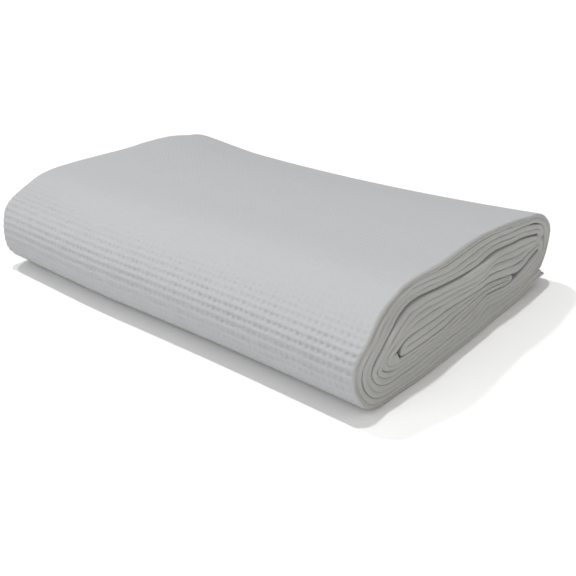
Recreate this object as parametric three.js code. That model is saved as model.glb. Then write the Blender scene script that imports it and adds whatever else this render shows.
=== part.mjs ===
import * as THREE from 'three';

// A waffle bath towel, doubled and folded flat into a bundle. X runs along the folds, the main fold is at the
// front (-Y), and the bundle rests on the XY plane. Sizes are in millimetres.

// Driving dimensions of the bundle and of the cloth
const LENGTH = 350;          // along the folds, from one end of the layers to the other
const LOFT = 5.2;            // thickness of the cloth where nothing presses it
const AIR = 0.6;             // air between neighbouring layers
const HEM_ROUNDING = 1.8;    // how far from a free edge the cloth starts to thin
const HEM_LEAST = 0.3;       // thickness of the very edge, as a share of the cloth's
const HEM_STEPS = 3;         // steps of the rounding

// Distances from the front fold at which the pile is measured
const STATIONS = [62, 100, 140, 160, 188, 208, 240];

// The pile of doubled passes from the floor up. run counts the passes from the towel's free edges inwards, and
// run 0 is the air under the lifted back edge. thick is the room that a pass takes at each station.
const PILE = [
  { run: 0, thick: [0, 0, 0, 0, 0.4, 1.5, 5.2] },
  { run: 1, thick: [5.8, 7.6, 7.6, 9.2, 7.8, 7, 8.6] },
  { run: 3, thick: [5.6, 6, 6.4, 8.2, 6.8, 6.9, 7.4] },
  { run: 6, thick: [5.4, 5.4, 5.4, 5.4, 5.6, 8.4, 7.6] },
  { run: 8, thick: [5.4, 5.2, 5.4, 4.4, 3.5, 0.4, 0.5] },
  { run: 9, thick: [11.6, 8.4, 5.6, 4.1, 3.5, 0.4, 0.5] },
  { run: 7, thick: [11.2, 11.2, 11.6, 14.8, 14.2, 14.4, 8.6] },
  { run: 5, thick: [9.5, 10.2, 11.2, 8.2, 9.8, 11.2, 6.8] },
  { run: 4, thick: [8.5, 8.8, 9.8, 8.9, 9.2, 10, 8.3] },
  { run: 2, thick: [8.2, 10.3, 10.2, 9.7, 10.2, 7.7, 7.6] },
];

// The turn at the end of each run. tip is its farthest distance in Y and level the height of that point, both on
// the middle of the doubled cloth. leaves and joins are where the curve leaves its run and joins the next one,
// pitch is the distance between the two layers at the tip, and power is 2 for an ellipse and more for a squarer
// curve. A turn without a level is a half circle between its two runs.
const TURNS = [
  { run: 1, tip: 5, level: 29, leaves: 38, joins: 65, pitch: 4.9, power: 2.3, steps: 7 },
  { run: 2, tip: 259.8, level: 26, leaves: 214, joins: 245, pitch: 3.2, power: 2.02, steps: 7 },
  { run: 3, tip: 14.5, level: 28, leaves: 42, joins: 65, pitch: 4.3, power: 2.24, steps: 6 },
  { run: 4, tip: 236.6, pitch: 3.1, steps: 4 },
  { run: 5, tip: 24.1, level: 27.5, leaves: 62, joins: 46, pitch: 4.1, power: 2.05, steps: 6 },
  { run: 6, tip: 248, pitch: 3.3, steps: 5 },
  { run: 7, tip: 33.6, level: 29, leaves: 60, joins: 47, pitch: 4.1, power: 1.95, steps: 6 },
  { run: 8, tip: 193, pitch: 1.6, steps: 4 },
];

const FREE_EDGES = { lower: 253.5, upper: 246 };   // where the two free edges lie at the back
const INNER_END = 54;                            // where the last run ends in the fold that joins the two layers
const MARKS = [55, 75, 100, 125, 145, 165, 190, 203, 217, 233];   // distances that all runs have a point at
const MARK_ROOM = 6;                             // a mark nearer than this to the end of a run is left out
const END_STEPS = 4;                             // points on the half circle of the innermost fold

// Unevenness of the bundle, each at its largest. Shares along the folds run from -1 at the far end to 1 at the near.
const BACK_SAG = 0.07;                // the back's top dips halfway along, as a share of the height
const BACK_RETREAT = 4;               // the back fold draws in halfway along
const BACK_PART = [110, 230];         // where the back part begins, and where it is at its fullest
const FAR_CORNER_RISE = 0.05;         // the far back corner stands higher, as a share of the height
const FAR_CORNER_PART = [-0.55, -1];  // share along the folds where that rise begins, and where it ends
const FRONT_WAVE = 1;                 // the front fold wanders in and out
const FAR_FRONT_RETREAT = 4;          // the front fold draws in towards the far end
const FAR_FRONT_PART = [-0.2, -1];    // share along the folds where it starts to, and where it ends
const FRONT_PART = 90;                // depth of the part that wanders
const WAVE_TURN = 3.1;                // angle of the wander at either end, in radians
const WAVE_START = 0.6;               // its angle halfway along
const PRESSED = 0.6;                  // what lies lower than this is pressed flat on the floor
const END_STAGGER = 1.3;              // the layers end a little apart
const STAGGER_DEPTH = 19;             // depth over which the stagger turns by one radian
const STAGGER_HEIGHT = 7;             // the same for the height

const SECTIONS = 7;                   // sections along the folds

// Value at distance y of a list given at the stations: a smooth curve through them, level before the first one and
// straight past the last one.
function alongPile(values, y) {
  const last = STATIONS.length - 1;
  const slope = (i) => {
    const a = Math.max(i - 1, 0);
    const b = Math.min(i + 1, last);
    return (values[b] - values[a]) / (STATIONS[b] - STATIONS[a]);
  };
  if (y <= STATIONS[0]) return values[0];
  if (y >= STATIONS[last]) return values[last] + slope(last) * (y - STATIONS[last]);
  const i = STATIONS.findIndex((station) => station > y) - 1;
  const span = STATIONS[i + 1] - STATIONS[i];
  const t = (y - STATIONS[i]) / span;
  const bend = t * t * (3 - 2 * t);
  const leave = slope(i) * span * t * (1 - t) * (1 - t);
  const arrive = slope(i + 1) * span * t * t * (1 - t);
  return values[i] + (values[i + 1] - values[i]) * bend + leave - arrive;
}

// Middle height and layer pitch of one run at distance y.
function runAt(run, y) {
  let floor = 0;
  for (const row of PILE) {
    const thick = alongPile(row.thick, y);
    if (row.run === run) return { y, z: floor + thick / 2, pitch: thick / 2 };
    floor += thick;
  }
  throw new Error(`no run ${run}`);
}

// Points of a run between two distances, in either direction: its ends, and the marks that all runs share.
function runPoints(run, from, to) {
  const low = Math.min(from, to) + MARK_ROOM;
  const high = Math.max(from, to) - MARK_ROOM;
  const between = MARKS.filter((mark) => mark > low && mark < high);
  if (from > to) between.reverse();
  return [from, ...between, to].map((y) => runAt(run, y));
}

// Fills in where a half circle between two runs starts and how high it lies.
function settled(turn) {
  if (turn.level !== undefined) return turn;
  const here = runAt(turn.run, turn.tip).z;
  const there = runAt(turn.run + 1, turn.tip).z;
  const centre = turn.tip - Math.abs(here - there) / 2;
  const level = (runAt(turn.run, centre).z + runAt(turn.run + 1, centre).z) / 2;
  return { ...turn, level, leaves: centre, joins: centre, power: 2 };
}

// Quarter of an ellipse, or of a squarer curve, from the end of a run to the tip of its turn.
function quarter(end, turn) {
  return Array.from({ length: turn.steps }, (_, i) => {
    const share = (i + 1) / turn.steps;
    const angle = share * (Math.PI / 2);
    return {
      y: end.y + (turn.tip - end.y) * Math.sin(angle) ** (2 / turn.power),
      z: turn.level + (end.z - turn.level) * Math.cos(angle) ** (2 / turn.power),
      pitch: end.pitch + (turn.pitch - end.pitch) * share,
    };
  });
}

// Middle line of the doubled cloth, from its free edges at the bottom back to its innermost end.
function spine() {
  const points = [];
  let start = FREE_EDGES.upper;
  for (const turn of TURNS.map(settled)) {
    const leave = runPoints(turn.run, start, turn.leaves);
    const join = runAt(turn.run + 1, turn.joins);
    const out = quarter(leave[leave.length - 1], turn);
    const back = quarter(join, turn).reverse().slice(1);
    points.push(...(points.length ? leave.slice(1) : leave), ...out, ...back, join);
    start = turn.joins;
  }
  points.push(...runPoints(TURNS.length + 1, start, INNER_END).slice(1));
  return points;
}

// Unit direction of the spine at a point, in the YZ plane.
function heading(points, i) {
  const a = points[Math.max(i - 1, 0)];
  const b = points[Math.min(i + 1, points.length - 1)];
  const length = Math.hypot(b.y - a.y, b.z - a.z);
  return { y: (b.y - a.y) / length, z: (b.z - a.z) / length };
}

// A rib is the pair of points on the two faces of the cloth at one place along it.
function rib(point, normal, side) {
  const thick = Math.min(LOFT, point.pitch - AIR);
  const reach = (offset) => ({
    y: point.y + normal.y * side * offset,
    z: point.z + normal.z * side * offset,
  });
  return { out: reach(point.pitch / 2 + thick / 2), in: reach(point.pitch / 2 - thick / 2) };
}

// Ribs of a rounded free edge that reaches past a rib by the overhang, from the edge inwards.
function freeEdge(from, overhang) {
  const mid = { y: (from.out.y + from.in.y) / 2, z: (from.out.z + from.in.z) / 2 };
  const half = { y: (from.out.y - from.in.y) / 2, z: (from.out.z - from.in.z) / 2 };
  return Array.from({ length: HEM_STEPS }, (_, i) => {
    const angle = (i / HEM_STEPS) * (Math.PI / 2);
    const y = mid.y + overhang - HEM_ROUNDING * (1 - Math.cos(angle));
    const share = Math.max(Math.sin(angle), HEM_LEAST);
    return {
      out: { y: y + half.y * share, z: mid.z + half.z * share },
      in: { y: y - half.y * share, z: mid.z - half.z * share },
    };
  });
}

// All ribs of the cloth: the lower layer inwards, round the innermost fold, and the upper layer back out.
function ribs() {
  const points = spine();
  const normals = points.map((_, i) => {
    const along = heading(points, i);
    return { y: -along.z, z: along.y };
  });
  const lower = points.map((point, i) => rib(point, normals[i], 1));
  const upper = points.map((point, i) => rib(point, normals[i], -1));
  const last = points.length - 1;
  const end = normals[last];
  const fold = Array.from({ length: END_STEPS - 1 }, (_, i) => {
    const angle = ((i + 1) / END_STEPS) * Math.PI;
    const turned = {
      y: end.y * Math.cos(angle) + end.z * Math.sin(angle),
      z: end.z * Math.cos(angle) - end.y * Math.sin(angle),
    };
    return rib(points[last], turned, 1);
  });
  return [
    ...freeEdge(lower[0], FREE_EDGES.lower - FREE_EDGES.upper),
    ...lower,
    ...fold,
    ...upper.toReversed(),
    ...freeEdge(upper[0], HEM_ROUNDING).reverse(),
  ];
}

// Smooth step from 0 at a to 1 at b.
function ease(a, b, value) {
  const t = THREE.MathUtils.clamp((value - a) / (b - a), 0, 1);
  return t * t * (3 - 2 * t);
}

// Bends the even bundle into its uneven one, with u as the share along the folds. Its weight presses the underside
// flat.
function settle(u, y, z) {
  const back = ease(...BACK_PART, y);
  const front = 1 - ease(0, FRONT_PART, y);
  const middle = 1 - u * u;
  const height = 1 - BACK_SAG * back * middle + FAR_CORNER_RISE * back * ease(...FAR_CORNER_PART, u);
  const wave = FRONT_WAVE * Math.sin(WAVE_TURN * u + WAVE_START) + FAR_FRONT_RETREAT * ease(...FAR_FRONT_PART, u);
  const stagger = END_STAGGER * Math.sin(y / STAGGER_DEPTH + z / STAGGER_HEIGHT);
  return new THREE.Vector3(
    (u * LENGTH) / 2 + u * Math.abs(u) * stagger,
    y - BACK_RETREAT * back * middle + wave * front,
    z < PRESSED ? 0 : z * height,
  );
}

// Closed mesh of the cloth: its rim at every section, joined by side faces and closed by an end at each side.
function clothGeometry() {
  const strip = ribs();
  const rim = [...strip.map((pair) => pair.out), ...strip.map((pair) => pair.in).reverse()];
  const positions = [];
  for (let s = 0; s <= SECTIONS; s += 1) {
    const u = (2 * s) / SECTIONS - 1;
    for (const point of rim) positions.push(...settle(u, point.y, point.z).toArray());
  }
  const indices = [];
  const quad = (a, b, c, d) => indices.push(a, c, b, a, d, c);
  for (let s = 0; s < SECTIONS; s += 1) {
    for (let i = 0; i < rim.length; i += 1) {
      const next = (i + 1) % rim.length;
      const here = s * rim.length;
      const there = here + rim.length;
      quad(here + i, here + next, there + next, there + i);
    }
  }
  const nearEnd = SECTIONS * rim.length;
  for (let i = 0; i < strip.length - 1; i += 1) {
    const across = rim.length - 1 - i;
    quad(i, across, across - 1, i + 1);
    quad(nearEnd + i, nearEnd + i + 1, nearEnd + across - 1, nearEnd + across);
  }
  const geometry = new THREE.BufferGeometry();
  geometry.setAttribute('position', new THREE.Float32BufferAttribute(positions, 3));
  geometry.setIndex(indices);
  geometry.computeBoundingBox();
  const { min, max } = geometry.boundingBox;
  geometry.translate(-(min.x + max.x) / 2, -(min.y + max.y) / 2, -min.z);
  geometry.computeVertexNormals();
  return geometry;
}

const cotton = new THREE.MeshStandardMaterial({
  name: 'waffle_cotton',
  color: 0xc6c8cb,
  roughness: 0.95,
  metalness: 0,
  side: THREE.FrontSide,
});

const towel = new THREE.Mesh(clothGeometry(), cotton);
towel.name = 'towel';

const group = new THREE.Group();
group.add(towel);

export default group;
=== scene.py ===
"""Waffle bath towel, doubled and folded flat into a bundle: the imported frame, dressed for a studio."""
import math

import bpy
import numpy as np
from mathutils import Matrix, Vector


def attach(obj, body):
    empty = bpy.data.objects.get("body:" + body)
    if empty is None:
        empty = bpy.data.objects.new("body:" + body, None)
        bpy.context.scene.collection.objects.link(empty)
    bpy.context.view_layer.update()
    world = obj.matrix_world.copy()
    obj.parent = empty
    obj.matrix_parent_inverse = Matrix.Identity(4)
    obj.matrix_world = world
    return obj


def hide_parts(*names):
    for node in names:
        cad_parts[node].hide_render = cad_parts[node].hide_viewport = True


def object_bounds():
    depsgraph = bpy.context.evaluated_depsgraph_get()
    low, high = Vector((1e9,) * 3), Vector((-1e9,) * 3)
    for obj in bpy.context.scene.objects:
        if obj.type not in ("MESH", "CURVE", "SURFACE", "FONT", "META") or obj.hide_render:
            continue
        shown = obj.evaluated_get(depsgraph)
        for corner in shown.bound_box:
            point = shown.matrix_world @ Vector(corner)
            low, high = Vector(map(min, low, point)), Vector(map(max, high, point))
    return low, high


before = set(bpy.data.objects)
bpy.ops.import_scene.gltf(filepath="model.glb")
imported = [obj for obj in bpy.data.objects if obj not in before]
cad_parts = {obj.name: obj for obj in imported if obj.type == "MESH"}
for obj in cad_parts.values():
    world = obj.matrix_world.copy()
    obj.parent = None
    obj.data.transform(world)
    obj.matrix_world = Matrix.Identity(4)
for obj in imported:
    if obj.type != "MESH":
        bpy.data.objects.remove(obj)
cad_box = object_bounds()

MM = 0.001

# The folded cloth, in millimetres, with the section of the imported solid. X runs along the folds, the main
# fold is at the front (-Y), and distances along the pile are counted from it.
LENGTH = 350.0                 # along the folds, from one end of the layers to the other
LOFT = 5.2                     # thickness of the cloth where nothing presses it, before it swells
AIR = 0.6                      # air between neighbouring layers, before they swell
HEM_ROUNDING = 1.8             # how far from a free edge the cloth starts to thin
HEM_LEAST = 0.3                # thickness of the very edge, as a share of the cloth's
HEM_STEPS = 4                  # rows of a free edge

# Distances along the pile at which the room of its passes is given
STATIONS = (62, 100, 140, 160, 188, 208, 240)

# The pile of doubled passes from the floor up: the pass, and the height that it takes at each station.
# Run 0 is the free height under the lowest pass.
PILE = (
    {"run": 0, "thick": (0, 0, 0, 0, 0.4, 1.5, 5.2)},
    {"run": 1, "thick": (5.8, 7.6, 7.6, 9.2, 7.8, 7, 8.6)},
    {"run": 3, "thick": (5.6, 6, 6.4, 8.2, 6.8, 6.9, 7.4)},
    {"run": 6, "thick": (5.4, 5.4, 5.4, 5.4, 5.6, 8.4, 7.6)},
    {"run": 8, "thick": (5.4, 5.2, 5.4, 4.4, 3.5, 0.4, 0.5)},
    {"run": 9, "thick": (11.6, 8.4, 5.6, 4.1, 3.5, 0.4, 0.5)},
    {"run": 7, "thick": (11.2, 11.2, 11.6, 14.8, 14.2, 14.4, 8.6)},
    {"run": 5, "thick": (9.5, 10.2, 11.2, 8.2, 9.8, 11.2, 6.8)},
    {"run": 4, "thick": (8.5, 8.8, 9.8, 8.9, 9.2, 10, 8.3)},
    {"run": 2, "thick": (8.2, 10.3, 10.2, 9.7, 10.2, 7.7, 7.6)},
)

# The turn at the end of each run: its tip and level, where this run leaves for it and where the next one
# joins, the layer pitch at the tip, the power (2 for an ellipse, more for a squarer curve), and the solid's
# steps in a quarter. Without a level it is a half circle.
TURNS = {
    1: {"tip": 5, "level": 29, "leaves": 38, "joins": 65, "pitch": 4.9, "power": 2.3, "steps": 7},
    2: {"tip": 259.8, "level": 26, "leaves": 214, "joins": 245, "pitch": 3.2, "power": 2.02, "steps": 7},
    3: {"tip": 14.5, "level": 28, "leaves": 42, "joins": 65, "pitch": 4.3, "power": 2.24, "steps": 6},
    4: {"tip": 236.6, "pitch": 3.1, "steps": 4},
    5: {"tip": 24.1, "level": 27.5, "leaves": 62, "joins": 46, "pitch": 4.1, "power": 2.05, "steps": 6},
    6: {"tip": 248, "pitch": 3.3, "steps": 5},
    7: {"tip": 33.6, "level": 29, "leaves": 60, "joins": 47, "pitch": 4.1, "power": 1.95, "steps": 6},
    8: {"tip": 193, "pitch": 1.6, "steps": 4},
}

LOWER_EDGE = 253.5             # where the lower layer of the first run ends
UPPER_EDGE = 246.0             # where the edge of its upper layer starts to thin
INNER_END = 54.0               # where the two layers are joined, at the end of the last run
MARKS = (55.0, 75.0, 100.0, 125.0, 145.0, 165.0, 190.0, 203.0, 217.0, 233.0)    # the solid's points of a run
MARK_ROOM = 1.0                # no point of a run lies nearer than this to its two ends
END_STEPS = 4                  # the solid's steps round the innermost end

# How each pass looks at the ends of the bundle, in its front part and in its back part: the depth of the
# groove on top of it and of the seam between its two layers, and how far it stands out. Run 0 stands for the
# floor.
ENDS = {
    0: {"groove": (1.4, 1.4), "seam": (0, 0), "proud": (0, 0)},
    1: {"groove": (0.45, 0.4), "seam": (0.35, 0.3), "proud": (-0.3, 0.2)},
    3: {"groove": (0.45, 0.45), "seam": (0.35, 0.3), "proud": (0.2, -0.2)},
    6: {"groove": (0.5, 1.0), "seam": (0.35, 0.4), "proud": (-0.2, 0.4)},
    8: {"groove": (0.4, 0.5), "seam": (0.3, 0.25), "proud": (0.2, -0.6)},
    9: {"groove": (0.9, 1.6), "seam": (0.5, 0.4), "proud": (-0.5, -1.0)},
    7: {"groove": (2.0, 1.9), "seam": (0.5, 0.8), "proud": (-0.8, -0.5)},
    5: {"groove": (0.8, 0.7), "seam": (0.5, 0.4), "proud": (1.6, 1.8)},
    4: {"groove": (0.9, 1.2), "seam": (0.5, 0.5), "proud": (-0.4, -0.3)},
    2: {"groove": (1.2, 0.9), "seam": (0.6, 0.5), "proud": (0, 0)},
}
ENDS_PART = (85.0, 185.0)      # where the front part ends and where the back part begins
WANDER = 0.35                  # how far the end of a layer strays from that
WANDER_STEP = 9.0              # distance along the cloth over which it does
WANDER_SEED = 5

# The bends of the uneven bundle, in millimetres and as shares of the height. A part is the two places where
# a bend starts and where it is full: distances along the pile, or shares along the folds from -1 at the far
# end to 1 at the near one.
BACK_SAG = 0.07                # how much lower the back is in the middle
BACK_RETREAT = 4.0             # how far it draws in there
BACK_PART = (110.0, 230.0)
FAR_CORNER_RISE = 0.05         # how much higher the far back corner is
FAR_CORNER_PART = (-0.55, -1.0)
FRONT_WAVE = 1.0               # how far the front fold wavers
WAVE_TURN = 3.1                # turn of that wave from the middle to an end, in radians
WAVE_START = 0.6               # and its turn in the middle
FAR_FRONT_RETREAT = 4.0        # how far the front fold draws in at the far end
FAR_FRONT_PART = (-0.2, -1.0)
FRONT_PART = 90.0              # distance along the pile at which the front's moves have faded
PRESSED = 0.6                  # everything below this height lies on the floor
FRONT_DIP = 0.055              # how much lower the upper front is
FRONT_DIP_HUMP = (20.0, 28.0)  # middle and reach of that, along the pile
FRONT_CROWN = 0.028            # how much higher the top is just behind it
FRONT_CROWN_HUMP = (64.0, 32.0)
FRONT_FAR = 0.3                # share of both that is left at the far end
END_STAGGER = 1.3              # how far the ends of the layers stand in and out
STAGGER_DEPTH = 19.0           # distance along the pile over which that turns by a radian
STAGGER_HEIGHT = 7.0           # and height
FOOT = 1.3                     # the lowest layers end this much further out instead of unevenly
FOOT_FADE = (4.0, 20.0)        # heights where that starts to fade, and where it is gone
FOOT_MORE = 2.2                # and this much more behind the front
FOOT_MORE_PART = (35.0, 75.0)
FOOT_LESS = 0.6                # share of that which is gone again at the back
FOOT_LESS_PART = (130.0, 190.0)

# The steps of the section
FINE = 6                       # steps here for each of the solid's
THIN = 3                       # inside the bundle one row in so many is kept
HIDDEN_RUN = 3                 # the skin ends on this run, which goes into the bundle from the back
HIDDEN_FROM = 222.0            # and at this distance along the pile

# The swell of the cloth into the free room beside it, and of its ends, the lips
SWELL = 1.0                    # most that a face grows in a pass
SWELL_PASSES = 8
SWELL_SHARE = 0.38             # share of the free room that it takes in a pass
SWELL_SPREAD = 6               # rows to either side over which it is evened out
SWELL_AIR = 0.25               # air that is left
SWELL_START = 8.0              # distance from a free edge over which it begins
LIP = 0.5                      # most that a face grows at its ends, in one last pass
LIP_SHARE = 0.5
LIP_SPREAD = 3
LIP_AIR = 0.03
LIP_STEPS = (4.5, 9.0)         # the lip is full up to the first distance from the end and gone at the second
PARALLEL = 1e-9                # a line this near to a ray's own direction isn't hit by it
TOO_NEAR = 1e-3                # a hit nearer than this is the face itself

# The waffle. Its cells are counted along the folds from the middle, and around the bundle upwards from a
# ridge near the foremost line, with ridges at whole numbers.
WAFFLE_ALONG = 4.45            # width of a cell along the folds
HALF_CELLS = LENGTH / 2 / WAFFLE_ALONG
WAFFLE_START = 1.8             # how far above the foremost line that ridge lies
# From each distance above the foremost line, the height of a cell. The last pair only ends the list.
WAFFLE_ROUND = ((-200.0, 5.9), (5.0, 5.3), (30.0, 4.7), (500.0, 4.7))
RIDGE = 0.13                   # half the width of a ridge, as a share of a cell
CELL_FLOOR = 0.37              # share of a cell from the middle of a ridge to where the floor begins
RELIEF = 0.95                  # depth of an open cell
RIDGE_ROUND = 0.6              # height of the ridges around the bundle, as a share of those along the folds
UNEVEN = 0.25                  # how much the depth of the cells varies
UNEVEN_SEED = 3
OPEN_MIDDLE = 1.2              # middle of the open cells, counted in cells
OPEN_PART = (2.5, 8.5)         # cells from there to where they start to close, and to where they have
OPEN_FAR = 4.0                 # they stay open for this many more at the far end
OPEN_FAR_PART = (-0.3, -1.0)   # share along the folds where that begins, and where it is at its fullest
RELIEF_FADE = 1.4              # at the ends the cells close over this distance
UNDER_ROW = 9.0                # spacing of the rows of the underside
TOP_ROW = 7.0                  # the same on the top and round the back

# The sections along the folds, given by their distance from the nearer end or from the middle
EDGE_STEPS = (0.0, 0.12, 0.4, 0.85, 1.5, 2.6)
EDGE_LEAST = 0.12              # share of the thickness that is left at the very end
INNER_SECTIONS = 7             # sections of the inner layers between the steps of the two ends
INNER_REACH = 148.0            # how far from the middle the outermost of them is

# Columns of a row of the section: the outer and the inner face, and what they are at the ends of the bundle
OUT = slice(0, 2)
IN = slice(2, 4)
GROOVE, SEAM, PROUD, LIP_OUT, LIP_IN = 4, 5, 6, 7, 8

UV_MAP = "cloth"


def along_pile(values, y):
    """Value at distance y of a list given at the stations."""
    last = len(STATIONS) - 1

    def slope(i):
        a, b = max(i - 1, 0), min(i + 1, last)
        return (values[b] - values[a]) / (STATIONS[b] - STATIONS[a])

    if y <= STATIONS[0]:
        return values[0]
    if y >= STATIONS[last]:
        return values[last] + slope(last) * (y - STATIONS[last])
    i = next(k for k, station in enumerate(STATIONS) if station > y) - 1
    span = STATIONS[i + 1] - STATIONS[i]
    t = (y - STATIONS[i]) / span
    bend = t * t * (3 - 2 * t)
    leave = slope(i) * span * t * (1 - t) ** 2
    arrive = slope(i + 1) * span * t * t * (1 - t)
    return values[i] + (values[i + 1] - values[i]) * bend + leave - arrive


def room_of(run, y):
    """Middle height of a run at distance y, and the room that it takes."""
    floor = 0.0
    for row in PILE:
        thick = along_pile(row["thick"], y)
        if row["run"] == run:
            return floor + thick / 2, thick
        floor += thick
    raise ValueError(f"no run {run}")


def run_at(run, y):
    """(distance, height, layer pitch) of the middle of a run. The pitch is measured square to its slope."""
    height, thick = room_of(run, y)
    rise = (room_of(run, y + 1)[0] - room_of(run, y - 1)[0]) / 2
    return (y, height, thick / 2 / math.hypot(1, rise))


def run_points(run, start, end):
    """Points of a run between two distances, in either direction."""
    low, high = min(start, end) + MARK_ROOM, max(start, end) - MARK_ROOM
    places = np.linspace(0, len(MARKS) - 1, (len(MARKS) - 1) * FINE + 1)
    marks = [y for y in np.interp(places, range(len(MARKS)), MARKS) if low < y < high]
    if start > end:
        marks.reverse()
    return [run_at(run, y) for y in (start, *marks, end)]


def settled(run, turn):
    """Fills in where a half circle at the end of a run starts and how high it lies."""
    if "level" in turn:
        return turn
    here, there = (run_at(run + k, turn["tip"])[1] for k in (0, 1))
    centre = turn["tip"] - abs(here - there) / 2
    level = sum(run_at(run + k, centre)[1] for k in (0, 1)) / 2
    return {**turn, "level": level, "leaves": centre, "joins": centre, "power": 2}


def quarter(end, turn):
    """Quarter of an ellipse, or of a squarer curve, from the end of a run to the tip of its turn."""
    steps = turn["steps"] * FINE
    power = 2 / turn["power"]
    points = []
    for i in range(1, steps + 1):
        share = i / steps
        angle = share * math.pi / 2
        points.append((
            end[0] + (turn["tip"] - end[0]) * math.sin(angle) ** power,
            turn["level"] + (end[1] - turn["level"]) * max(math.cos(angle), 0) ** power,
            end[2] + (turn["pitch"] - end[2]) * share,
        ))
    return points


def spine():
    """Middle line of the doubled cloth from its free edges to its innermost end, and each point's run."""
    points, runs = [], []
    start = UPPER_EDGE
    for run, given in TURNS.items():
        turn = settled(run, given)
        leave = run_points(run, start, turn["leaves"])
        join = run_at(run + 1, turn["joins"])
        straight = leave[1:] if points else leave
        bend = quarter(leave[-1], turn) + quarter(join, turn)[::-1][1:] + [join]
        points += straight + bend
        runs += [run] * len(straight)
        runs += [run + (i + 1) / len(bend) for i in range(len(bend))]
        start = turn["joins"]
    last_run = len(TURNS) + 1
    last = run_points(last_run, start, INNER_END)[1:]
    points += last
    runs += [last_run] * len(last)
    return np.array(points, float), np.array(runs, float)


def normals_of(points):
    """Unit normals of a line of points, to the left of its direction as seen from the near end."""
    along = np.empty_like(points)
    along[1:-1] = points[2:] - points[:-2]
    along[0] = points[1] - points[0]
    along[-1] = points[-1] - points[-2]
    along /= np.linalg.norm(along, axis=1)[:, None]
    return np.stack([-along[:, 1], along[:, 0]], axis=1)


def ease(a, b, value):
    """Smooth step from 0 at a to 1 at b."""
    t = np.clip((value - a) / (b - a), 0, 1)
    return t * t * (3 - 2 * t)


def hump(middle, reach, value):
    """1 at the middle and 0 from the reach on."""
    return 1 - ease(0, reach, np.abs(value - middle))


def lengths(line):
    """Distance along a line from its first point to each of its points."""
    return np.concatenate([[0], np.cumsum(np.linalg.norm(np.diff(line, axis=0), axis=1))])


def middles(rows):
    """Points halfway between the two faces."""
    return (rows[:, OUT] + rows[:, IN]) / 2


def end_values(pairs, runs, y):
    """Values at places along the cloth, from one pair for each run: its front part's and its back part's."""
    numbers = np.arange(1, len(pairs) + 1)
    front, back = (np.interp(runs, numbers, values) for values in np.array(pairs, float).T)
    return front + (back - front) * ease(*ENDS_PART, y)


def end_columns(runs, y, side):
    """Groove, seam and stand-out of one layer at the ends. Side 1 has the lower layer of run 1."""
    order = [row["run"] for row in PILE]
    grooves = []
    for run in range(1, len(order)):
        faces_up = (run % 2 == 0) == (side > 0)
        beneath = order[order.index(run) - 1]
        grooves.append(ENDS[run if faces_up else beneath]["groove"])
    seams = [ENDS[run]["seam"] for run in range(1, len(order))]
    prouds = [ENDS[run]["proud"] for run in range(1, len(order))]
    return [end_values(pairs, runs, y) for pairs in (grooves, seams, prouds)]


def section_rows(centres, normal, pitch, ends):
    """Rows of the section: the outer and the inner face at each centre, and the end columns."""
    thick = np.minimum(LOFT, pitch - AIR)
    out = centres + normal * ((pitch + thick) / 2)[:, None]
    inner = centres + normal * ((pitch - thick) / 2)[:, None]
    lips = np.zeros((len(centres), 2))
    return np.column_stack([out, inner, *ends, lips])


def innermost_fold(points, last_row):
    """The half circle that joins the two layers at the innermost end."""
    end = normals_of(points[:, :2])[-1]
    steps = END_STEPS * FINE
    angle = np.arange(1, steps) / steps * math.pi
    turned = np.outer(np.cos(angle), end) + np.outer(np.sin(angle), (end[1], -end[0]))
    centres = np.repeat(points[-1:, :2], len(angle), axis=0)
    pitch = np.full(len(angle), points[-1, 2])
    ends = [np.full(len(angle), last_row[column]) for column in (GROOVE, SEAM, PROUD)]
    return section_rows(centres, turned, pitch, ends)


def free_edge(row, overhang):
    """Rows of a rounded free edge that reaches past a row by the overhang, from the edge inwards."""
    rows = np.repeat(row[None], HEM_STEPS, axis=0)
    angle = np.arange(HEM_STEPS) / HEM_STEPS * math.pi / 2
    middle, half = (row[OUT] + row[IN]) / 2, (row[OUT] - row[IN]) / 2
    share = np.maximum(np.sin(angle), HEM_LEAST)[:, None]
    shift = np.stack([overhang - HEM_ROUNDING * (1 - np.cos(angle)), np.zeros(HEM_STEPS)], axis=1)
    rows[:, OUT] = middle + shift + half * share
    rows[:, IN] = middle + shift - half * share
    return rows


def wander(distance):
    """Small smooth strays along the cloth, from -1 to 1."""
    spots = np.arange(0, distance[-1] + 2 * WANDER_STEP, WANDER_STEP)
    drawn = np.random.default_rng(WANDER_SEED).uniform(-1, 1, len(spots))
    i = np.clip((distance / WANDER_STEP).astype(int), 0, len(spots) - 2)
    t = ease(0, 1, distance / WANDER_STEP - i)
    return drawn[i] + (drawn[i + 1] - drawn[i]) * t


def free_room(rim, outward):
    """Distance from each point of a closed line to the rest of it, straight out of the cloth."""
    step = np.roll(rim, -1, axis=0) - rim
    room = np.full(len(rim), np.inf)
    for i, (point, ray) in enumerate(zip(rim, outward)):
        gap = rim - point
        turn = ray[0] * step[:, 1] - ray[1] * step[:, 0]
        turn[np.abs(turn) < PARALLEL] = np.inf
        reach = (gap[:, 0] * step[:, 1] - gap[:, 1] * step[:, 0]) / turn
        share = (gap[:, 0] * ray[1] - gap[:, 1] * ray[0]) / turn
        hits = reach[(share >= 0) & (share <= 1) & (reach > TOO_NEAR)]
        room[i] = hits.min(initial=np.inf)
    return room


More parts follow.
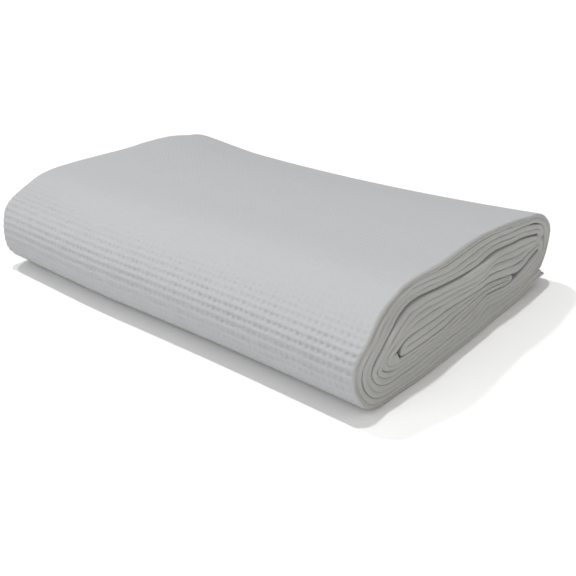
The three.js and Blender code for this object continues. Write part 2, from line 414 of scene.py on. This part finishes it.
def growth(rows, air, most, share, spread):
    """Way out of the cloth at each row, and how far its outer and its inner face grow into their free room.

    A face takes a share of the room that the air leaves, up to the most, and the least of its neighbours'
    growth within the spread, which is then evened out. None grows at a free edge, or out of the bundle.
    """
    outward = (rows[:, OUT] - rows[:, IN]) / 2
    outward /= np.linalg.norm(outward, axis=1)[:, None]
    rim = np.concatenate([rows[:, OUT], rows[::-1, IN]])
    room = free_room(rim, np.concatenate([outward, -outward[::-1]]))
    grown = np.where(np.isfinite(room), np.clip((room - air) * share, 0, most), 0)
    shifts = range(-spread, spread + 1)
    grown = np.min([np.roll(grown, k) for k in shifts], axis=0)
    grown = np.mean([np.roll(grown, k) for k in shifts], axis=0)
    distance = lengths(middles(rows))
    begun = ease(0, SWELL_START, np.minimum(distance, distance[-1] - distance))
    return outward, grown[:len(rows)] * begun, grown[:len(rows) - 1:-1] * begun


def swollen(rows):
    """Rows of the section with the cloth swollen into free room, and with the lips of its ends."""
    rows = rows.copy()
    for _ in range(SWELL_PASSES):
        outward, outer, inner = growth(rows, SWELL_AIR, SWELL, SWELL_SHARE, SWELL_SPREAD)
        rows[:, OUT] += outward * outer[:, None]
        rows[:, IN] -= outward * inner[:, None]
    _, rows[:, LIP_OUT], rows[:, LIP_IN] = growth(rows, LIP_AIR, LIP, LIP_SHARE, LIP_SPREAD)
    return rows


def cloth_section():
    """All rows of the section from the lower free edge to the upper one, and the first row that is hidden."""
    points, runs = spine()
    y = points[:, 0]
    normal = normals_of(points[:, :2])
    lower, upper = (section_rows(points[:, :2], normal * side, points[:, 2], end_columns(runs, y, side))
                    for side in (1, -1))
    rows = np.concatenate([
        free_edge(lower[0], LOWER_EDGE - UPPER_EDGE),
        lower,
        innermost_fold(points, lower[-1]),
        upper[::-1],
        free_edge(upper[0], HEM_ROUNDING)[::-1],
    ])
    rows[:, PROUD] += WANDER * wander(lengths(middles(rows)))
    hidden = HEM_STEPS + int(np.argmax((runs >= HIDDEN_RUN) & (y < HIDDEN_FROM)))
    return swollen(rows), hidden


def settle(u, y, z, proud):
    """Bends the even bundle into its uneven one. u runs from -1 at the far end to 1 at the near one."""
    back = ease(*BACK_PART, y)
    front = 1 - ease(0, FRONT_PART, y)
    middle = 1 - u * u
    height = 1 - BACK_SAG * back * middle + FAR_CORNER_RISE * back * ease(*FAR_CORNER_PART, u)
    near = FRONT_FAR + (1 - FRONT_FAR) * (1 + u) / 2
    height += near * (FRONT_CROWN * hump(*FRONT_CROWN_HUMP, y) - FRONT_DIP * hump(*FRONT_DIP_HUMP, y))
    wave = FRONT_WAVE * np.sin(WAVE_TURN * u + WAVE_START) + FAR_FRONT_RETREAT * ease(*FAR_FRONT_PART, u)
    stagger = END_STAGGER * np.sin(y / STAGGER_DEPTH + z / STAGGER_HEIGHT) + proud
    foot = FOOT + FOOT_MORE * ease(*FOOT_MORE_PART, y) * (1 - FOOT_LESS * ease(*FOOT_LESS_PART, y))
    stagger += (foot - stagger) * (1 - ease(*FOOT_FADE, z))
    return np.stack([
        u * LENGTH / 2 + u * np.abs(u) * stagger,
        y - BACK_RETREAT * back * middle + wave * front,
        np.where(z < PRESSED, 0, z * height),
    ], axis=-1)


def resampled(rows, distance, at):
    """Rows at other distances along the cloth."""
    return np.stack([np.interp(at, distance, rows[:, k]) for k in range(rows.shape[1])], axis=1)


def along_folds(inside, edge):
    """Shares along the folds, for places from the middle and steps from both ends, and each one's inset.

    The inset is the distance from the nearer end.
    """
    steps = LENGTH / 2 - np.array(edge)
    x = np.concatenate([-steps, inside, steps[::-1]])
    return 2 * x / LENGTH, LENGTH / 2 - np.abs(x)


def rounding(inset, radius):
    """Share of the half thickness that is left at an inset from the end of a layer."""
    return np.maximum(np.sqrt(np.clip(inset / radius, 0, 1)), EDGE_LEAST)


def face_points(rows, side, inset):
    """Points of one face of the cloth at each inset: the outer face for side 1 and the inner one for -1."""
    half = (rows[:, OUT] - rows[:, IN]) / 2 * side
    radius = rows[:, GROOVE if side > 0 else SEAM]
    share = rounding(inset[None, :], radius[:, None])
    lip = rows[:, LIP_OUT if side > 0 else LIP_IN] / np.linalg.norm(half, axis=1)
    share = share * (1 + lip[:, None] * (1 - ease(*LIP_STEPS, inset))[None, :])
    return middles(rows)[:, None, :] + half[:, None, :] * share[:, :, None]


def cell_scale():
    """Distances upwards from the foremost line, and the number of the waffle cell at each of them."""
    start, size = np.array(WAFFLE_ROUND).T
    count = np.concatenate([[0], np.cumsum(np.diff(start) / size[:-1])])
    return start, count - np.interp(WAFFLE_START, start, count)


def cells_around(distance):
    """Number of the waffle cell at distances upwards from the foremost line."""
    return np.interp(distance, *cell_scale())


def cell_lines(first, last):
    """Cell numbers at the edges of the ridges and floors between two whole ones."""
    return (np.arange(first, last)[:, None] + (-RIDGE, RIDGE, CELL_FLOOR, 1 - CELL_FLOOR)).ravel()


def sunk(cells):
    """0 on the ridges and 1 on the floors of the cells."""
    return np.clip((np.abs(cells - np.round(cells)) - RIDGE) / (CELL_FLOOR - RIDGE), 0, 1)


def waffle(u, around):
    """Depth of the waffle, in rows for cell numbers around the bundle and in columns for shares along it."""
    along = u * HALF_CELLS
    depth = sunk(around)[:, None] * (1 - RIDGE_ROUND * (1 - sunk(along)))[None, :]
    column, row = (np.floor(cells).astype(int) - int(np.floor(cells.min())) for cells in (along, around))
    size = (row.max() + 1, column.max() + 1)
    varied = np.random.default_rng(UNEVEN_SEED).uniform(1 - UNEVEN, 1 + UNEVEN, size)
    off_middle = np.abs(around - OPEN_MIDDLE)[:, None] - OPEN_FAR * ease(*OPEN_FAR_PART, u)[None, :]
    return RELIEF * depth * varied[row][:, column] * (1 - ease(*OPEN_PART, off_middle))


class Builder:
    """Collects points, their places on the flat cloth, and faces."""

    def __init__(self):
        self.points, self.places, self.faces = [], [], []
        self.count = 0

    def grid(self, u, place, proud, distance):
        """Adds points of the section at shares u along the folds, and their faces. Returns their numbers.

        The distance of each row is counted around the bundle from the foremost line.
        """
        shares = np.broadcast_to(u, place.shape[:2])
        points = settle(shares, place[..., 0], place[..., 1], proud[:, None])
        around = np.broadcast_to(cells_around(distance)[:, None], shares.shape)
        self.points.append(points.reshape(-1, 3))
        self.places.append(np.stack([shares * HALF_CELLS, around], axis=-1).reshape(-1, 2))
        numbers = np.arange(self.count, self.count + shares.size).reshape(shares.shape)
        self.count += shares.size
        a, b = numbers[:-1, :-1], numbers[1:, :-1]
        c, d = numbers[1:, 1:], numbers[:-1, 1:]
        self.faces += np.stack([a, d, c, b], axis=-1).reshape(-1, 4).tolist()
        return numbers

    def stitch(self, first, t_first, second, t_second):
        """Joins two lines of points by triangles, in step with their shares t."""
        i = j = 0
        while i < len(first) - 1 or j < len(second) - 1:
            ahead = j == len(second) - 1 or (i < len(first) - 1 and t_first[i + 1] <= t_second[j + 1])
            if ahead:
                self.faces.append([first[i], first[i + 1], second[j]])
                i += 1
            else:
                self.faces.append([first[i], second[j + 1], second[j]])
                j += 1

    def mesh(self, name):
        """The mesh in metres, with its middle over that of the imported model, and with its UV map."""
        points = np.concatenate(self.points)
        places = np.concatenate(self.places)
        low, high = np.array(cad_box)
        middle = (points.min(axis=0) + points.max(axis=0)) / 2
        points[:, :2] = (points[:, :2] - middle[:2]) * MM + (low[:2] + high[:2]) / 2
        points[:, 2] *= MM
        mesh = bpy.data.meshes.new(name)
        mesh.from_pydata(points.tolist(), [], self.faces)
        uv = mesh.uv_layers.new(name=UV_MAP)
        loops = np.empty(len(mesh.loops), int)
        mesh.loops.foreach_get("vertex_index", loops)
        uv.data.foreach_set("uv", places[loops].astype(np.float32).ravel())
        mesh.shade_smooth()
        mesh.update()
        return mesh


def skin_distances(distance, front):
    """Distances of the skin's rows: in step with the open waffle cells, and plain below and above them."""
    start, count = cell_scale()
    first, last = (int(OPEN_MIDDLE + sign * OPEN_PART[1]) for sign in (-1, 1))
    open_rows = front + np.interp(cell_lines(first, last + int(OPEN_FAR) + 1), count, start)
    under = np.linspace(distance[HEM_STEPS], open_rows[0], int(open_rows[0] / UNDER_ROW))
    top = np.linspace(open_rows[-1], distance[-1], int((distance[-1] - open_rows[-1]) / TOP_ROW))
    return np.concatenate([distance[:HEM_STEPS], under[:-1], open_rows, top[1:]])


def skin_columns():
    """Shares along the folds of the skin's columns, in step with the waffle cells, and their insets."""
    lines = cell_lines(-int(HALF_CELLS), int(HALF_CELLS) + 1)
    lines = lines[np.abs(lines) < HALF_CELLS - EDGE_STEPS[-1] / WAFFLE_ALONG]
    return along_folds(lines * WAFFLE_ALONG, EDGE_STEPS)


def add_skin(builder, rows, distance):
    """Adds the exposed outer faces with the waffle's relief. Returns the columns' shares and the numbers."""
    u, inset = skin_columns()
    relief = waffle(u, cells_around(distance)) * ease(0.0, RELIEF_FADE, inset)[None, :]
    place = face_points(rows, 1, inset) - normals_of(rows[:, OUT])[:, None, :] * relief[:, :, None]
    return u, builder.grid(u, place, rows[:, PROUD], distance)


def add_rest(builder, section, distance, behind, kept):
    """Adds the outer faces of the rows behind the skin, and then the inner faces of all kept ones, backwards.

    Returns the columns' shares and the numbers.
    """
    inside = np.linspace(-INNER_REACH, INNER_REACH, INNER_SECTIONS)
    u, inset = along_folds(inside, (*EDGE_STEPS, *LIP_STEPS))
    place = np.concatenate([face_points(section[behind], 1, inset),
                            face_points(section[kept[::-1]], -1, inset)])
    rows = np.concatenate([behind, kept[::-1]])
    return u, builder.grid(u, place, section[rows, PROUD], distance[rows])


def cloth_mesh():
    """The whole cloth as one closed mesh."""
    section, hidden = cloth_section()
    strip = lengths(middles(section))
    skin = section[:hidden + 1]
    skin_strip = lengths(skin[:, OUT])
    front = skin_strip[np.argmin(skin[:, 0])]
    at = skin_distances(skin_strip, front)
    kept = np.unique([*range(HEM_STEPS), *range(HEM_STEPS, len(section), THIN), len(section) - 1])
    behind = kept[kept > hidden]

    # the rim of the section: the skin, the outer faces behind it, and the inner faces back to the free edge
    builder = Builder()
    skin_u, skin_numbers = add_skin(builder, resampled(skin, skin_strip, at), at - front)
    rest_u, rest_numbers = add_rest(builder, section, strip - front, behind, kept)
    builder.stitch(skin_numbers[-1], skin_u, rest_numbers[0], rest_u)
    builder.stitch(rest_numbers[-1], rest_u, skin_numbers[0], skin_u)

    # the two ends of the bundle
    outer_strip = np.concatenate([np.interp(at, skin_strip, strip[:hidden + 1]), strip[behind]])
    for end in (0, -1):
        outer = np.concatenate([skin_numbers[:, end], rest_numbers[:len(behind), end]])
        inner = rest_numbers[len(behind):, end][::-1]
        if end == 0:
            builder.stitch(outer, outer_strip, inner, strip[kept])
        else:
            builder.stitch(inner, strip[kept], outer, outer_strip)
    return builder.mesh("towel_cloth")


def new_object(name, data):
    """Makes an object of some data and puts it in the scene."""
    obj = bpy.data.objects.new(name, data)
    bpy.context.scene.collection.objects.link(obj)
    return obj


class Nodes:
    """Short forms for the nodes of one material."""

    def __init__(self, material):
        material.use_nodes = True
        self.tree = material.node_tree
        self.shader = self.tree.nodes["Principled BSDF"]

    def new(self, kind, **settings):
        """Adds a node with some of its settings."""
        node = self.tree.nodes.new(kind)
        for name, value in settings.items():
            setattr(node, name, value)
        return node

    def put(self, socket, value):
        """Sets a socket to a value, or links another socket to it."""
        if isinstance(value, bpy.types.NodeSocket):
            self.tree.links.new(value, socket)
        else:
            socket.default_value = value

    def fill(self, node, **values):
        """Puts values into the inputs of a node, which are named with _ for a space."""
        for name, value in values.items():
            self.put(node.inputs[name.replace("_", " ")], value)

    def math(self, operation, *values):
        """Result of one step of arithmetic."""
        node = self.new("ShaderNodeMath", operation=operation)
        for socket, value in zip(node.inputs, values):
            self.put(socket, value)
        return node.outputs["Value"]

    def smooth(self, value, low, high):
        """Smooth step from 0 at low to 1 at high."""
        node = self.new("ShaderNodeMapRange", interpolation_type="SMOOTHSTEP")
        self.fill(node, Value=value, From_Min=low, From_Max=high)
        return node.outputs["Result"]

    def noise(self, place, scale, detail):
        """Noise from 0 to 1 at a place."""
        node = self.new("ShaderNodeTexNoise")
        self.fill(node, Vector=place, Scale=scale, Detail=detail)
        return node.outputs["Fac"]


# The finish of the cloth. Depths and heights of the bump are in metres, and scales are to the metre.
COTTON = (0.395, 0.4, 0.41)
COTTON_ROUGHNESS = 0.95
COTTON_SPECULAR = 0.15
END_SHADE_COLOUR = (0.39, 0.391, 0.376)   # painted warm shade on the ends of the layers
END_PART = (174.0, 175.0)      # distances from the middle in millimetres between which it turns to that
CLOSED_RELIEF = 0.00022        # depth of a closed cell
YARNS = 6.0                    # yarns to a cell
YARN_RELIEF = 0.00006
YARN_TURN = 0.08               # share of a cell over which the yarns change their direction
FUZZ_SCALE = 900.0
FUZZ_DETAIL = 3.0
FUZZ_RELIEF = 0.00012
CELL_PAINTED_SHADE = 0.05              # painted shade: how much darker the bottom of an open cell is
MOTTLE_SCALE = 60.0
MOTTLE_DETAIL = 2.0
MOTTLE = 0.025                 # how much the colour varies


def closed_cells(nodes, along, around):
    """How far the cells are closed at a place on the flat cloth."""
    off_middle = nodes.math("ABSOLUTE", nodes.math("SUBTRACT", around, OPEN_MIDDLE))
    far_from, far_to = (share * HALF_CELLS for share in OPEN_FAR_PART)
    far = nodes.math("SUBTRACT", 1.0, nodes.smooth(along, far_to, far_from))
    return nodes.smooth(nodes.math("MULTIPLY_ADD", far, -OPEN_FAR, off_middle), *OPEN_PART)


def yarns(nodes, along, around, cell_along, cell_around):
    """Yarns as waves that lie along the nearer ridge."""
    weft = nodes.math("SINE", nodes.math("MULTIPLY", around, 2 * math.pi * YARNS))
    warp = nodes.math("SINE", nodes.math("MULTIPLY", along, 2 * math.pi * YARNS))
    nearer = nodes.smooth(nodes.math("SUBTRACT", cell_along, cell_around), -YARN_TURN, YARN_TURN)
    return nodes.math("MULTIPLY_ADD", nodes.math("SUBTRACT", weft, warp), nearer, warp)


def cotton_with_painted_shade(nodes, along, painted_shade_and_mottle):
    """Colour of the cotton, turned to a painted warm shade at the layers' ends, times painted shade and
    mottle.
    """
    end_from, end_to = (distance / WAFFLE_ALONG for distance in END_PART)
    # painted warm shade where the layers end
    ended = nodes.smooth(nodes.math("ABSOLUTE", along), end_from, end_to)
    change = nodes.new("ShaderNodeVectorMath", operation="MULTIPLY_ADD")
    nodes.put(change.inputs[0], ended)
    nodes.put(change.inputs[1], [end - plain for end, plain in zip(END_SHADE_COLOUR, COTTON)])
    nodes.put(change.inputs[2], COTTON)
    colour = nodes.new("ShaderNodeVectorMath", operation="SCALE")
    nodes.fill(colour, Vector=change.outputs["Vector"], Scale=painted_shade_and_mottle)
    return colour.outputs["Vector"]


def waffle_cotton():
    """Cotton with closed cells, yarns and fuzz as bump, and painted shade in the open cells and at the ends.
    """
    material = bpy.data.materials.new("waffle_cotton")
    nodes = Nodes(material)
    split = nodes.new("ShaderNodeSeparateXYZ")
    nodes.fill(split, Vector=nodes.new("ShaderNodeUVMap", uv_map=UV_MAP).outputs["UV"])
    along, around = split.outputs["X"], split.outputs["Y"]
    place = nodes.new("ShaderNodeTexCoord").outputs["Object"]
    cell_along = nodes.math("PINGPONG", along, 0.5)
    cell_around = nodes.math("PINGPONG", around, 0.5)
    cell = nodes.math("MULTIPLY", nodes.math("MINIMUM", cell_along, cell_around), 2.0)
    closed = closed_cells(nodes, along, around)

    yarn = yarns(nodes, along, around, cell_along, cell_around)
    fuzz = nodes.noise(place, FUZZ_SCALE, FUZZ_DETAIL)
    height = nodes.math("MULTIPLY", nodes.math("MULTIPLY", cell, closed), -CLOSED_RELIEF)
    height = nodes.math("MULTIPLY_ADD", yarn, YARN_RELIEF, height)
    height = nodes.math("MULTIPLY_ADD", fuzz, FUZZ_RELIEF, height)
    bump = nodes.new("ShaderNodeBump")
    nodes.fill(bump, Height=height, Distance=1.0)

    depth = nodes.math("MULTIPLY", cell, nodes.math("SUBTRACT", 1.0, closed))
    # painted shade at the bottom of the open cells, with the mottle of the colour
    painted_shade_and_mottle = nodes.math("MULTIPLY_ADD", depth, -CELL_PAINTED_SHADE, 1.0 - MOTTLE / 2)
    painted_shade_and_mottle = nodes.math("MULTIPLY_ADD", nodes.noise(place, MOTTLE_SCALE, MOTTLE_DETAIL), MOTTLE, painted_shade_and_mottle)
    nodes.fill(nodes.shader, Base_Color=cotton_with_painted_shade(nodes, along, painted_shade_and_mottle), Normal=bump.outputs["Normal"],
               Roughness=COTTON_ROUGHNESS, Specular_IOR_Level=COTTON_SPECULAR)
    return material


# The towel
towel = new_object("towel_cloth", cloth_mesh())
towel.data.materials.append(waffle_cotton())
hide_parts("towel")
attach(towel, "root")

# The studio, in metres
FLOOR_REACH = 30.0
FLOOR_COLOUR = (0.84, 0.84, 0.84, 1)
CAMERA_PLACE = (0.3781, -0.4342, 0.2555)
CAMERA_DOWN = 25.0             # degrees below level
CAMERA_ROUND = 39.6            # degrees round from looking along +Y, towards -X
CAMERA_LENS = 48.75            # millimetres, as is the sensor's width
CAMERA_SENSOR = 36.0
CAMERA_CLIP = (0.01, 200.0)

WHITE = (1, 1, 1)
WARM = (1, 0.95, 0.82)

# Soft lights from one direction each, given as the vector towards them, with their spread in degrees
SUNS = (
    {"name": "key", "towards": (-0.5, 0, 0.87), "strength": 0.95, "spread": 3.5, "colour": WHITE},
    {"name": "above", "towards": (-0.13, 0, 1), "strength": 1.3, "spread": 2.5, "colour": WHITE},
    {"name": "right", "towards": (0.8, 0.05, 0.56), "strength": 0.48, "spread": 50, "colour": WARM},
)
SOFTBOX = {"place": (-0.05, -0.95, 0.55), "size": 0.7, "power": 4.7}
ROOM_LIGHT = 0.46


def floor_material():
    """Matt and pale, without a shine."""
    material = bpy.data.materials.new("studio_floor")
    nodes = Nodes(material)
    nodes.fill(nodes.shader, Base_Color=FLOOR_COLOUR, Roughness=1.0, Specular_IOR_Level=0.0)
    return material


def add_floor():
    """Adds the floor that the bundle lies on."""
    mesh = bpy.data.meshes.new("floor")
    corners = [(x * FLOOR_REACH, y * FLOOR_REACH, 0) for x, y in ((-1, -1), (1, -1), (1, 1), (-1, 1))]
    mesh.from_pydata(corners, [], [(0, 1, 2, 3)])
    floor = new_object("floor", mesh)
    floor.data.materials.append(floor_material())


def add_camera():
    """Adds the camera at the photo's viewing angle."""
    data = bpy.data.cameras.new("camera")
    data.lens = CAMERA_LENS
    data.sensor_width = CAMERA_SENSOR
    data.clip_start, data.clip_end = CAMERA_CLIP
    camera = new_object("camera", data)
    camera.location = CAMERA_PLACE
    camera.rotation_euler = (math.radians(90 - CAMERA_DOWN), 0, math.radians(CAMERA_ROUND))
    bpy.context.scene.camera = camera


def turned_to(towards):
    """Turn of a light whose beam comes from a direction."""
    x, y, z = towards
    return (math.atan2(math.hypot(x, y), z), 0, math.atan2(x, -y))


def add_sun(name, towards, strength, spread, colour):
    """Adds a light from one direction."""
    data = bpy.data.lights.new(name, "SUN")
    data.energy = strength
    data.angle = math.radians(spread)
    data.color = colour
    new_object(name, data).rotation_euler = turned_to(towards)


def add_softbox(place, size, power):
    """Adds a square light that faces the bundle."""
    data = bpy.data.lights.new("softbox", "AREA")
    data.size = size
    data.energy = power
    light = new_object("softbox", data)
    light.location = place
    light.rotation_euler = turned_to(place)


def add_room_light():
    """Adds even light from all around."""
    world = bpy.data.worlds.new("studio")
    world.use_nodes = True
    background = world.node_tree.nodes["Background"]
    background.inputs["Color"].default_value = (*WHITE, 1)
    background.inputs["Strength"].default_value = ROOM_LIGHT
    bpy.context.scene.world = world


add_floor()
add_camera()
for sun in SUNS:
    add_sun(**sun)
add_softbox(**SOFTBOX)
add_room_light()
bpy.context.scene.view_settings.view_transform = "Standard"
